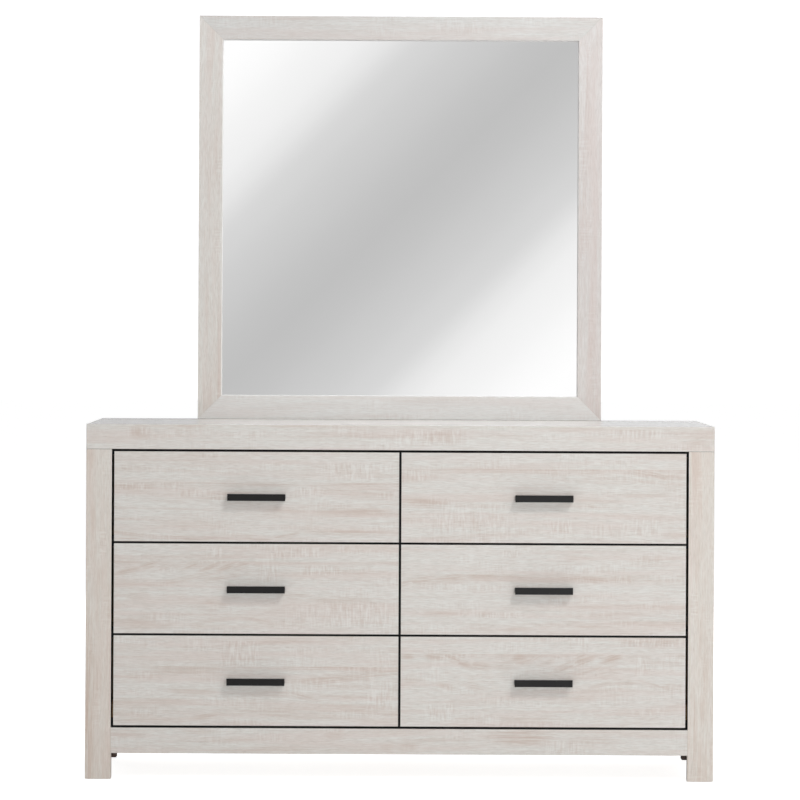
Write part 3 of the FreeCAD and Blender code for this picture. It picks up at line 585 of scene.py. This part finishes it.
def grained_timber(name, grain, pale, dark, ring_width):
    """Planed solid timber: straight growth lines along its length and a dry, slightly hairy surface."""
    material, tree, shader = new_finish(name, {"IOR": 1.5})
    spot = add(tree, "TexCoord")
    place = add(tree, "Mapping",
                {"Vector": spot.outputs["Object"], "Rotation": grain_turns[grain], "Scale": to_mm})
    ring_length = 160
    hair_length = 22
    hair_width = 0.9
    drawn = add(tree, "VectorMath", {0: place, 1: (1 / ring_length, 1 / ring_width, 1 / ring_width)},
                operation="MULTIPLY")
    rings = add(tree, "TexNoise", {"Vector": drawn, "Scale": 1.0, "Detail": 3.0})
    hair = add(tree, "VectorMath", {0: place, 1: (1 / hair_length, 1 / hair_width, 1 / hair_width)},
               operation="MULTIPLY")
    hairs = add(tree, "TexNoise", {"Vector": hair, "Scale": 1.0, "Detail": 1.0})
    late = add(tree, "MapRange", {"Value": rings, "From Min": 0.35, "From Max": 0.7}, **ease)
    tone = add(tree, "Mix", {0: late, 6: (*linear(pale), 1.0), 7: (*linear(dark), 1.0)}, data_type="RGBA")
    rough = add(tree, "MapRange", {"Value": hairs, "To Min": 0.6, "To Max": 0.82})
    surface(tree, shader, tone, rough, hairs, 0.15, 0.5)
    return material


def fibreboard(name, pale, dark, fleck, rough_low, rough_high):
    """Pressed fibreboard: short tangled fibres and darker flecks in a smooth, faintly mottled sheet."""
    material, tree, shader = new_finish(name, {"IOR": 1.48})
    spot = add(tree, "TexCoord")
    mottle_size = 140 * mm
    fibre_size = 2.2 * mm
    mottle = add(tree, "TexNoise",
                 {"Vector": spot.outputs["Object"], "Scale": 1 / mottle_size, "Detail": 2.0})
    fibres = add(tree, "TexNoise",
                 {"Vector": spot.outputs["Object"], "Scale": 1 / fibre_size, "Detail": 3.0,
                  "Distortion": 1.5})
    cloud = add(tree, "MapRange", {"Value": mottle, "From Min": 0.3, "From Max": 0.7})
    flecks = add(tree, "MapRange",
                 {"Value": fibres, "From Min": 0.52, "From Max": 0.72, "To Max": 0.6}, **ease)
    ground = add(tree, "Mix", {0: cloud, 6: (*linear(pale), 1.0), 7: (*linear(dark), 1.0)},
                 data_type="RGBA")
    tone = add(tree, "Mix", {0: flecks, 6: ground.outputs[2], 7: (*linear(fleck), 1.0)}, data_type="RGBA")
    rough = add(tree, "MapRange", {"Value": fibres, "To Min": rough_low, "To Max": rough_high})
    surface(tree, shader, tone, rough, fibres, 0.08, 0.4)
    return material


def powder_coat(fittings):
    """Black powder coat on steel: satin, with the fine orange peel of the baked powder."""
    lighter = [min(1.0, channel * 1.35) for channel in fittings.coat]
    return clouded_finish("black powder coat, baked", {"Specular IOR Level": 0.25}, 12, 2.0, fittings.coat,
                          lighter, (0.36, 0.5), (1.4, 1.0, 0.06, 0.5))


def zinc_plate(fittings):
    """Zinc plated steel: bright grey, faintly clouded by the bath, with a soft metal gloss."""
    warm = [channel * share for channel, share in zip(fittings.zinc, (0.82, 0.8, 0.74))]
    return clouded_finish("zinc plated steel", {"Metallic": 1.0}, 3, 3.0, fittings.zinc, warm, (0.24, 0.42))


def silvered_glass():
    """Float glass silvered on its back: a clear neutral reflection, and a haze too faint to see except
    where light rakes over it."""
    return clouded_finish("silvered float glass", {"Metallic": 1.0}, 180, 2.0, linear("f9f9f9"),
                          linear("f7f7f7"), (0.012, 0.03))


def moulded_nylon():
    """Brown nylon, moulded: even colour with a fine spark-eroded grain and a waxy gloss."""
    return clouded_finish("brown nylon, moulded", {"IOR": 1.53}, 0.8, 1.0, linear("4a3b31"),
                          linear("5a493d"), (0.4, 0.6), (0.8, 1.0, 0.05, 0.4))


def dress(node, material, edge=0.0):
    """Gives a CAD node its material and, where asked, a softened edge of that width."""
    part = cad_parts[node]
    part.data.materials.clear()
    part.data.materials.append(material)
    if edge:
        weld = part.modifiers.new("joined faces", "WELD")
        weld.merge_threshold = 0.005 * mm
        soft = part.modifiers.new("softened edge", "BEVEL")
        soft.width = edge
        soft.segments = 2
        soft.limit_method = "ANGLE"
        soft.angle_limit = math.radians(30)
        soft.use_clamp_overlap = True
        soft.harden_normals = True


def new_object(name, shape, material):
    """New object from a bmesh in metres, with its material."""
    mesh = bpy.data.meshes.new(name)
    shape.normal_update()
    shape.to_mesh(mesh)
    shape.free()
    mesh.materials.append(material)
    made = bpy.data.objects.new(name, mesh)
    bpy.context.scene.collection.objects.link(made)
    return made


def new_piece(name, shape, material, body):
    """New piece from a bmesh in metres, riding on a body and taking its finish from a slot."""
    piece = new_object(name, shape, material)
    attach(piece, body)
    return piece


def new_ring(shape, place, outline, level):
    """Row of new corners along an outline, at a level over the place's own plane."""
    return [shape.verts.new(place @ Vector((x, y, level))) for x, y in outline]


def wall(shape, low, high, smooth=False):
    """Faces between two rows of corners that run round in the same way."""
    for step in range(len(low)):
        after = (step + 1) % len(low)
        face = shape.faces.new((low[step], low[after], high[after], high[step]))
        face.smooth = smooth


def round_edges(shape, ring):
    """Edges of a closed row of corners."""
    return [shape.edges.get((one, other)) for one, other in zip(ring, ring[1:] + ring[:1])]


def cross_head(shape, place, radius, height, cross):
    """Screw head with a cross recess, standing on the place's own plane and rising along its Z axis."""
    steps = 32
    turns = [2 * math.pi * step / steps for step in range(steps)]
    rings = []
    for share, level in ((1.0, 0.0), (1.0, 0.45), (0.9, 0.82), (0.72, 1.0)):
        outline = [(radius * share * math.cos(turn), radius * share * math.sin(turn)) for turn in turns]
        rings.append(new_ring(shape, place, outline, height * level))
    for low, high in zip(rings, rings[1:]):
        wall(shape, low, high, smooth=True)

    # The recess narrows towards its floor
    arm = radius * cross
    half = arm * 0.24
    narrowing = 0.6
    floor_level = 0.3
    corners = ((half, half), (half, arm), (-half, arm), (-half, half), (-arm, half), (-arm, -half),
               (-half, -half), (-half, -arm), (half, -arm), (half, -half), (arm, -half), (arm, half))
    rim = new_ring(shape, place, corners, height)
    lower = [(x * narrowing, y * narrowing) for x, y in corners]
    floor = new_ring(shape, place, lower, height * floor_level)
    wall(shape, rim, floor)
    shape.faces.new(floor)
    edges = round_edges(shape, rim) + round_edges(shape, rings[-1])
    bmesh.ops.triangle_fill(shape, use_beauty=True, edges=edges)


def retaining_clip(shape, place):
    """Flat clip with round ends, half on the frame and half on the backing, and its screw."""
    half = 6.5 * mm
    thick = 1.2 * mm
    over_backing = 9 * mm
    over_frame = -8 * mm
    screw_radius = 3.6 * mm
    screw_rise = 2.0 * mm
    outline = []
    for centre, start in ((over_backing, -90), (over_frame, 90)):
        for step in range(13):
            angle = math.radians(start + 15 * step)
            outline.append((centre + half * math.cos(angle), half * math.sin(angle)))
    low = new_ring(shape, place, outline, 0.0)
    high = new_ring(shape, place, outline, thick)
    wall(shape, low, high)
    shape.faces.new(low[::-1])
    shape.faces.new(high)
    cross_head(shape, place @ Matrix.Translation((over_frame, 0, thick)), screw_radius, screw_rise, 0.55)


class DRESSER_OT_case(bpy.types.Operator):
    """Finish the boards of the case, its black web frames and the timber inside"""
    bl_idname = "dresser.case"
    bl_label = "Case"

    def execute(self, context):
        oak = context.scene.dresser_oak
        edge = oak.eased_edge
        tan_streak()
        saw_patch()
        oak_print(oak)
        dress("top_board", oak_board("top", "x", (310, 240, 0), coat=1.0), edge)
        low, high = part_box("top_front_band")
        # The band's underside is painted black: painted shade of the reveal over the top drawers
        band = oak_board("front band", "x", (-900, 35, 0), (low.x, 0, high.z),
                         figures["front_band"], (black_and_reveal_shade, ((0, 0, -1),), reveal_shade_facing, 0.0),
                         tint=(oak.chalk, 0.06))
        dress("top_front_band", band, edge)
        for column, inward in (("left", 1), ("right", -1)):
            band = oak_board(column + " band", "y", (400 * inward, 80, 0))
            dress("top_" + column + "_band", band, edge)
            # The leg's inner face above the bottom rail is painted black: painted shade of the reveal
            # beside the drawers
            leg = oak_board(column + " leg", "z", (260 * inward, 130, 40 * inward),
                            (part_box(column + "_front_leg")[0].x, 0, 0), figures[column + "_leg"],
                            (black_and_reveal_shade, ((inward, 0, 0),), reveal_shade_facing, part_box("bottom_rail")[1].z),
                            tint=(linear("f2dcc0"), 0.1))
            dress(column + "_front_leg", leg, edge)
            side = oak_board(column + " side", "z", (1300 * inward, -60, 0))
            dress(column + "_side_panel", side, edge)
        low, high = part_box("bottom_rail")
        # The rail's top face is painted black: painted shade of the reveal under the bottom drawers
        rail = oak_board("bottom rail", "x", (1500, -80, 0), (low.x, 0, high.z),
                         figures["bottom_rail"], (black_and_reveal_shade, ((0, 0, 1),), reveal_shade_facing, 0.0))
        dress("bottom_rail", rail, edge)
        # The web rails and the partition are black, and this black also stands in as painted shade where
        # they show through the reveals
        paint = black_paint()
        dress("front_web_rails", paint, 0.4 * mm)
        dress("centre_partition", paint)
        pine = ("d3b184", "b98f5c", 5.0)
        across = grained_timber("pine, planed across", "x", *pine)
        deep = grained_timber("pine, planed in depth", "y", *pine)
        for node in ("rear_web_rails", "rear_top_rail", "rear_bottom_rail", "front_bottom_cleat"):
            dress(node, across, fine_edge)
        for node in ("drawer_runners", "drawer_guide_strips"):
            dress(node, deep, fine_edge)
        block = grained_timber("beech, stained dark brown", "z", "45342d", "33261f", 4.0)
        dress("corner_blocks", block, edge)
        dress("floor_glides", moulded_nylon(), 0.3 * mm)
        return {"FINISHED"}


class DRESSER_OT_drawers(bpy.types.Operator):
    """Finish the drawer fronts and the drawer boxes"""
    bl_idname = "dresser.drawers"
    bl_label = "Drawers"

    def execute(self, context):
        sides = fibreboard("fibreboard, wrapped in pale paper", "d6d1c8", "cbc5bb", "bdb6ab", 0.5, 0.62)
        bottom = fibreboard("hardboard, pale face", "cfc8bc", "c2baac", "a99f90", 0.5, 0.66)
        around = ((1, 0, 0), (-1, 0, 0), (0, 0, 1), (0, 0, -1))
        for count, drawer in enumerate(drawers):
            cut = (700 * count - 1800, 150 * count - 260, 45 * count)
            low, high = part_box(drawer + "_front")
            # The front's edges are painted black: painted shade of the reveals round the drawer
            front = oak_board(drawer.replace("_", " ") + " front", "x", cut,
                              (low.x, 0, high.z), figures[drawer],
                              (black_and_reveal_shade, around, reveal_shade_facing, 0.0))
            dress(drawer + "_front", front, fine_edge)
            dress(drawer + "_sides", sides, rounded_edge)
            dress(drawer + "_back", sides, rounded_edge)
            dress(drawer + "_bottom", bottom)
        return {"FINISHED"}


class DRESSER_OT_pulls(bpy.types.Operator):
    """Coat the pulls and put their screws inside the drawers"""
    bl_idname = "dresser.pulls"
    bl_label = "Pulls"

    def execute(self, context):
        fittings = context.scene.dresser_fittings
        coat = powder_coat(fittings)
        zinc = zinc_plate(fittings)
        head_rise = 2.6 * mm
        for drawer in drawers:
            dress(drawer + "_pull", coat, fine_edge)
            low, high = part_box(drawer + "_pull")
            middle = (low + high) / 2
            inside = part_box(drawer + "_front")[1].y
            shape = bmesh.new()
            for side in (-1, 1):
                x = middle.x + side * fittings.pull_screw_centres / 2
                place = Matrix.Translation((x, inside, middle.z)) @ rearward
                cross_head(shape, place, fittings.pull_screw_head / 2, head_rise, cross_reach)
            new_piece(drawer + "_pull_screws", shape, zinc, drawer)
        return {"FINISHED"}


class DRESSER_OT_mirror(bpy.types.Operator):
    """Finish the mirror's frame, its glass and its backing"""
    bl_idname = "dresser.mirror"
    bl_label = "Mirror"

    def execute(self, context):
        # The tints stand in for light and shade: the top rail and the right stile are darkened as painted
        # shade, the right stile also pinker, and the bottom rail is lightened as painted light. The faces
        # beside the glass get a pale painted highlight
        for piece, grain, cut, inward, edge, tint in (
                ("top_rail", "x", (210, 480, 90), (0, 0, -1), 0.7, (linear("a5aaaf"), 0.2)),
                ("bottom_rail", "x", (3400, -520, 20), (0, 0, 1), 1.2, (linear("e7ebee"), 0.3)),
                ("left_stile", "z", (650, 90, -140), (1, 0, 0), 0.7, None),
                ("right_stile", "z", (-1250, 60, 105), (-1, 0, 0), 0.7, (linear("b3a4b0"), 0.15))):
            board = oak_board("mirror " + piece.replace("_", " "), grain, cut,
                              painted=(sight_highlight, (inward,), sight_highlight_facing, 0.0), tint=tint)
            dress("mirror_" + piece, board, edge * mm)
        dress("mirror_glass", silvered_glass())
        dress("mirror_backing", fibreboard("hardboard, brown", "a88d70", "a08567", "7d654d", 0.5, 0.7))
        return {"FINISHED"}


class DRESSER_OT_back(bpy.types.Operator):
    """Finish the back panel, the mirror supports, and the screws and nails that hold them"""
    bl_idname = "dresser.back"
    bl_label = "Back"

    def execute(self, context):
        fittings = context.scene.dresser_fittings
        zinc = bpy.data.materials["zinc plated steel"]
        dress("back_panel", bpy.data.materials["hardboard, brown"])
        for column, shift in (("left", -500), ("right", 900)):
            support = oak_board(column + " support", "z", (shift, 20, 0))
            dress(column + "_mirror_support", support, 0.8 * mm)

        # Screws of the supports, with a cross recess in each flush head
        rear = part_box("left_mirror_support")[1].y
        head_radius = 6 * mm
        head_height = 3 * mm
        shank_radius = 3 * mm
        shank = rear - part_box("support_screws")[0].y - head_height
        shape = bmesh.new()
        for column in columns:
            low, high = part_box(column + "_mirror_support")
            middle = (low.x + high.x) / 2
            for z in support_screw_heights:
                head = Matrix.Translation((middle, rear - head_height, z * mm)) @ rearward
                cross_head(shape, head @ Matrix.Rotation(z, 4, "Z"), head_radius, head_height, cross_reach)
                bmesh.ops.create_cone(shape, cap_ends=True, segments=20, radius1=shank_radius,
                                      radius2=shank_radius, depth=shank,
                                      matrix=head @ Matrix.Translation((0, 0, -shank / 2)))
        screws = new_piece("support_screws_driven", shape, zinc, "case")
        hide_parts("support_screws")

        # Flat clips that hold the mirror's backing, each with a screw into the frame
        low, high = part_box("mirror_backing")
        shape = bmesh.new()
        clip_columns = (-0.33, 0.0, 0.33)
        clip_heights = (1.41, 1.65)
        spots = [((x, high.y, z), inward) for x in clip_columns
                 for z, inward in ((low.z, (0, 0, 1)), (high.z, (0, 0, -1)))]
        spots += [((x, high.y, z), inward) for z in clip_heights
                  for x, inward in ((low.x, (1, 0, 0)), (high.x, (-1, 0, 0)))]
        for spot, inward in spots:
            along = Vector(inward)
            out = Vector((0, 1, 0))
            turn = Matrix((along, out.cross(along), out)).transposed().to_4x4()
            retaining_clip(shape, Matrix.Translation(spot) @ turn)
        new_piece("mirror_backing_clips", shape, zinc, "case")

        # Nails round the edge of the back panel
        low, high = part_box("back_panel")
        inset = 9 * mm
        nail_rise = 0.9 * mm
        nail_taper = 0.72
        left, right = low.x + inset, high.x - inset
        bottom, top = low.z + inset, high.z - inset
        wide = round((right - left) / fittings.nail_spacing)
        tall = round((top - bottom) / fittings.nail_spacing)
        spots = []
        for step in range(wide + 1):
            x = left + (right - left) * step / wide
            spots += [(x, bottom), (x, top)]
        for step in range(1, tall):
            z = bottom + (top - bottom) * step / tall
            spots += [(left, z), (right, z), (0.0, z)]
        shape = bmesh.new()
        for x, z in spots:
            bmesh.ops.create_cone(shape, cap_ends=True, segments=14, radius1=fittings.nail_head / 2,
                                  radius2=fittings.nail_head / 2 * nail_taper, depth=nail_rise,
                                  matrix=Matrix.Translation((x, high.y + nail_rise / 2, z)) @ rearward)
        new_piece("back_panel_nails", shape, zinc, "case")
        return {"FINISHED"}


class DRESSER_OT_stage(bpy.types.Operator):
    """Set the floor, the pale room, the lights, the card that the mirror reflects and the camera"""
    bl_idname = "dresser.stage"
    bl_label = "Stage"

    def execute(self, context):
        stage = context.scene.dresser_stage
        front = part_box("top_left_drawer_front")[0].y
        eye = Vector((-stage.camera_side, front - stage.camera_distance, stage.camera_height))
        self.surroundings(stage)
        self.sheen_cards()
        self.mirror_card(eye)
        self.lights(context.scene, stage)
        self.camera(context.scene, stage, eye)
        return {"FINISHED"}

    def surroundings(self, stage):
        """White seamless paper with the faint unevenness of a rolled sheet, a grey card a little under it
        for what a floor throws back onto the object, and a white room, which is for the eye only."""
        roll = 1000 / 3
        floor_radius = 30.0
        room_radius = 45.0
        paper = clouded_finish("white seamless paper", {"Roughness": 0.8, "Emission Color": white,
                                                        "Emission Strength": stage.floor_glow},
                               roll, 2.0, (0.9, 0.9, 0.9), (0.86, 0.86, 0.86))
        card = clouded_finish("grey bounce card", {"Roughness": 0.9}, roll, 2.0, (0.86, 0.86, 0.86),
                              (0.82, 0.82, 0.82))
        for name, material, height, hidden in (("floor", paper, 0.0, ("glossy", *other_rays)),
                                               ("floor_bounce", card, -1 * mm, ("camera",))):
            shape = bmesh.new()
            bmesh.ops.create_circle(shape, cap_ends=True, segments=64, radius=floor_radius,
                                    matrix=Matrix.Translation((0, 0, height)))
            self.place(name, shape, material, hidden)
        shape = bmesh.new()
        bmesh.ops.create_icosphere(shape, subdivisions=3, radius=room_radius)
        bmesh.ops.reverse_faces(shape, faces=shape.faces)
        self.place("room", shape, self.lit("white room", 1.0), ("glossy", *other_rays))

    def sheen_cards(self):
        """Lit sheets that show only as gloss: a backdrop on the top, a low card at the right on the pulls
        there, and a high card in front, which the top shows by way of the mirror."""
        for name, finish, strength, y, across, up in (
                ("backdrop", "lit backdrop", 0.01, 2.6, (-6.0, 6.0), (-0.5, 6.0)),
                ("low_card", "low white card", 5.0, -3.5, (0.4, 2.6), (0.0, 0.5)),
                ("high_card", "high white card", 4.2, -5.0, (-2.6, 2.6), (2.7, 5.5))):
            self.upright(name, self.lit(finish, strength), y, across, up)

    def mirror_card(self, eye):
        """Card behind the camera, which only the mirror sees: a grey band from low left to high right that
        fades to white at the two other corners."""
        glass_low, glass_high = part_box("mirror_glass")
        behind_camera = 0.35
        card_y = eye.y - behind_camera
        reach = (2 * glass_low.y - eye.y - card_y) / (glass_low.y - eye.y)
        inset = 0.015
        margin = 0.3
        band_middle = 0.98
        left = eye.x + (glass_low.x + inset - eye.x) * reach
        right = eye.x + (glass_high.x - inset - eye.x) * reach
        top = eye.z + (glass_high.z - inset - eye.z) * reach
        bottom = eye.z + (glass_low.z + inset - eye.z) * reach
        card, tree, shader = new_finish("graded card", {"Base Color": (0.0, 0.0, 0.0, 1.0),
                                                        "Specular IOR Level": 0.0,
                                                        "Emission Strength": 1.065})
        spot = add(tree, "TexCoord")
        parts = add(tree, "SeparateXYZ", {0: spot.outputs["Object"]})
        across = add(tree, "MapRange", {"Value": parts.outputs["X"], "From Min": left, "From Max": right},
                     clamp=False)
        down = add(tree, "MapRange", {"Value": parts.outputs["Z"], "From Min": top, "From Max": bottom},
                   clamp=False)
        total = add(tree, "Math", {0: across, 1: down}, operation="ADD")
        offset = add(tree, "Math", {0: total, 1: band_middle}, operation="SUBTRACT")
        distance = add(tree, "Math", {0: offset}, operation="ABSOLUTE")
        ramp = add(tree, "ValToRGB", {"Fac": distance})
        ramp.color_ramp.interpolation = "CARDINAL"
        stops = ((0.0, "c0c0c0"), (0.17, "c7c7c7"), (0.34, "d1d1d1"), (0.45, "d9d9d9"), (0.51, "e4e4e4"),
                 (0.59, "eeeeee"), (0.76, "f7f7f7"), (0.93, "ffffff"))
        while len(ramp.color_ramp.elements) < len(stops):
            ramp.color_ramp.elements.new(0.5)
        for element, (position, text) in zip(ramp.color_ramp.elements, stops):
            element.position = position
            element.color = (*linear(text), 1.0)
        join(tree, shader, {"Emission Color": ramp})
        self.upright("graded_card", card, card_y, (left - margin, right + margin),
                     (bottom - margin, top + margin))

    @staticmethod
    def lights(scene, stage):
        """Even light from all round, and soft lamps. The front one is hidden from gloss, so that the mirror
        doesn't show it."""
        world = bpy.data.worlds.new("pale room")
        world.use_nodes = True
        scene.world = world
        background = world.node_tree.nodes["Background"]
        background.inputs["Color"].default_value = white
        background.inputs["Strength"].default_value = stage.surround
        target = Vector((0.0, 0.0, 0.9))
        neutral = (1.0, 1.0, 1.0)
        cool = (0.88, 0.94, 1.0)
        for name, spot, energy, size, tone in (
                ("key", (1.7, -3.9, 4.1), stage.key_power, 1.2, neutral),
                ("front", (0.3, -5.8, 0.9), stage.front_power, 3.0, neutral),
                ("side", (3.2, -2.6, 1.5), stage.side_power, 2.8, neutral),
                ("overhead", (0.8, 0.1, 3.5), stage.over_power, 1.6, cool),
                ("rear_left", (-2.4, 3.4, 1.2), stage.rear_power, 2.0, neutral),
                ("rear_right", (2.4, 3.4, 1.2), stage.rear_power, 2.0, neutral)):
            lamp = bpy.data.lights.new(name, "AREA")
            lamp.energy = energy
            lamp.size = size
            lamp.color = tone
            light = bpy.data.objects.new(name, lamp)
            light.location = spot
            light.rotation_euler = (target - Vector(spot)).to_track_quat("-Z", "Y").to_euler()
            light.visible_glossy = name != "front"
            light.visible_camera = False
            scene.collection.objects.link(light)

    @staticmethod
    def camera(scene, stage, eye):
        """Camera level at the photograph's place, shifted to frame the object as the photograph does."""
        lens = bpy.data.cameras.new("camera")
        lens.lens = stage.camera_lens
        lens.sensor_width = 36.0
        lens.shift_x, lens.shift_y = stage.camera_shift
        lens.clip_end = 200.0
        camera = bpy.data.objects.new("camera", lens)
        camera.location = eye
        camera.rotation_euler = (math.radians(90), stage.camera_roll, 0.0)
        scene.collection.objects.link(camera)
        scene.camera = camera
        scene.view_settings.view_transform = "Standard"

    @staticmethod
    def lit(name, strength):
        """White sheet with light of its own."""
        return new_finish(name, {"Emission Strength": strength, "Emission Color": white})[0]

    def upright(self, name, material, y, across, up):
        """Upright sheet that only gloss and mirrors see, between two places across and two heights."""
        shape = bmesh.new()
        corners = ((across[0], up[0]), (across[1], up[0]), (across[1], up[1]), (across[0], up[1]))
        shape.faces.new([shape.verts.new((x, y, z)) for x, z in corners])
        self.place(name, shape, material, ("camera", *other_rays))

    @staticmethod
    def place(name, shape, material, hidden):
        """Puts a piece of the stage into the scene, hidden from some kinds of ray."""
        made = new_object(name, shape, material)
        for ray in hidden:
            setattr(made, "visible_" + ray, False)


class DRESSER_PT_sidebar(bpy.types.Panel):
    """Settings and steps of the dresser"""
    bl_label = "Dresser with mirror"
    bl_idname = "DRESSER_PT_sidebar"
    bl_space_type = "VIEW_3D"
    bl_region_type = "UI"
    bl_category = "Dresser"

    def draw(self, context):
        for settings in (context.scene.dresser_oak, context.scene.dresser_fittings,
                         context.scene.dresser_stage):
            box = self.layout.box()
            for name in settings.__annotations__:
                box.prop(settings, name)
        for operator in operators:
            self.layout.operator(operator.bl_idname)


operators = (DRESSER_OT_case, DRESSER_OT_drawers, DRESSER_OT_pulls, DRESSER_OT_mirror, DRESSER_OT_back,
             DRESSER_OT_stage)
classes = (OakPrint, Fittings, StudioStage, *operators, DRESSER_PT_sidebar)


def register():
    for kind in classes:
        bpy.utils.register_class(kind)
    bpy.types.Scene.dresser_oak = PointerProperty(type=OakPrint)
    bpy.types.Scene.dresser_fittings = PointerProperty(type=Fittings)
    bpy.types.Scene.dresser_stage = PointerProperty(type=StudioStage)


def unregister():
    del bpy.types.Scene.dresser_stage
    del bpy.types.Scene.dresser_fittings
    del bpy.types.Scene.dresser_oak
    for kind in reversed(classes):
        bpy.utils.unregister_class(kind)


def main():
    register()
    bpy.ops.dresser.case()
    bpy.ops.dresser.drawers()
    bpy.ops.dresser.pulls()
    bpy.ops.dresser.mirror()
    bpy.ops.dresser.back()
    bpy.ops.dresser.stage()


if __name__ == "__main__":
    main()
